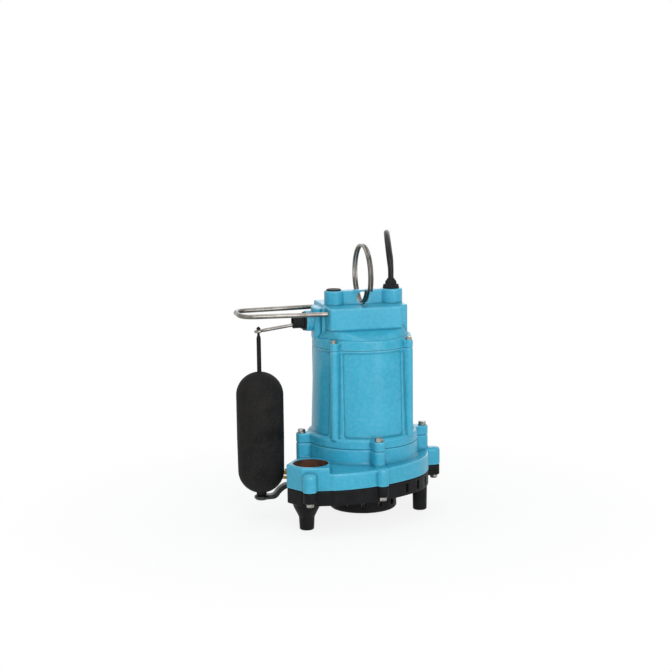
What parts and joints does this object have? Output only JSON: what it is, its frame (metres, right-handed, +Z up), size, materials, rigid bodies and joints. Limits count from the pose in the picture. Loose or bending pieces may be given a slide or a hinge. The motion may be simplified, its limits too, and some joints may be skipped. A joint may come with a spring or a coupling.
{
  "type": "submersible sump pump",
  "caption": "Submersible sump pump: tapered blue cast housing on a spiral volute with upright discharge, black footed base, rod-guided float switch, lifting ring and power cord.",
  "frame": {"origin": "middle of the pump's footprint, cord left out, on the floor that the feet stand on", "axes": "+Z up along the motor shaft, -X towards the float and its lever, -Y towards the flat front of the top cover"},
  "size_m": [0.3012, 0.3614, 0.3873],
  "materials": {
    "painted_castings": "light blue enamel, half gloss, over cast iron",
    "black_plastic": "moulded black plastic, satin",
    "stainless": "stainless steel, smooth",
    "black_rubber": "moulded black rubber",
    "float_foam": "mottled black moulded float, matt",
    "motor_steel": "electrical steel, oiled",
    "bearing_steel": "ground bearing steel",
    "copper": "lacquered copper wire",
    "seal_ceramic": "lapped ceramic",
    "seal_carbon": "carbon ring in a rubber bellows",
    "impeller_plastic": "glass-filled plastic",
    "capacitor_can": "drawn aluminium can",
    "cord_jacket": "round black cord jacket",
    "plug_plastic": "moulded black plug",
    "plug_brass": "plain brass"
  },
  "bodies": {
    "pump_body": {"volute_casing": "painted_castings", "motor_housing": "painted_castings", "top_cover": "painted_castings", "base_plate": "black_plastic", "inlet_guard": "black_plastic", "float_guide": "black_plastic", "oil_fill_plug": "black_plastic", "micro_switch": "black_plastic", "cover_screw_1": "stainless", "cover_screw_2": "stainless", "cover_screw_3": "stainless", "cover_screw_4": "stainless", "flange_screw_1": "stainless", "flange_screw_2": "stainless", "flange_screw_3": "stainless", "flange_screw_4": "stainless", "base_screw_1": "stainless", "base_screw_2": "stainless", "base_screw_3": "stainless", "base_screw_4": "stainless", "guide_screw": "stainless", "float_guard": "stainless", "lever_pin": "stainless", "cord_gland": "black_rubber", "switch_bushing": "black_rubber", "switch_boot": "black_rubber", "stator_core": "motor_steel", "bearing_bracket": "motor_steel", "upper_bearing": "bearing_steel", "lower_bearing": "bearing_steel", "winding_upper": "copper", "winding_lower": "copper", "seal_seat": "seal_ceramic", "run_capacitor": "capacitor_can", "power_cord": "cord_jacket", "cord_coil": "cord_jacket", "cord_tail": "cord_jacket", "plug_body": "plug_plastic", "plug_blade_1": "plug_brass", "plug_blade_2": "plug_brass", "plug_ground_pin": "plug_brass"},
    "rotor": {"motor_shaft": "motor_steel", "rotor_core": "motor_steel", "impeller": "impeller_plastic", "impeller_nut": "stainless", "seal_rotor": "seal_carbon"},
    "switch_lever": {"switch_lever": "stainless"},
    "float": {"float_rod": "black_plastic", "float": "float_foam"},
    "lifting_ring": {"lifting_ring": "stainless"}
  },
  "joints": [
    {"name": "rotor_spin", "type": "hinge", "parent": "pump_body", "child": "rotor", "pos_m": [0.032, 0.004, 0.15], "axis": [0, 0, 1], "continuous": true},
    {"name": "lever_pivot", "type": "hinge", "parent": "pump_body", "child": "switch_lever", "pos_m": [-0.04, 0.008, 0.27], "axis": [0, 1, 0], "range_deg": [0, 15]},
    {"name": "float_hang", "type": "hinge", "parent": "switch_lever", "child": "float", "pos_m": [-0.11216, 0.008, 0.26037], "axis": [0, 1, 0], "range_deg": [-15, 0]},
    {"name": "ring_swing", "type": "hinge", "parent": "pump_body", "child": "lifting_ring", "pos_m": [0.0312, 0, 0.3001], "axis": [0, 1, 0], "range_deg": [-88, 14]}
  ],
  "couplings": [
    {"joint": "float_hang", "follows": "lever_pivot", "ratio": -1}
  ]
}
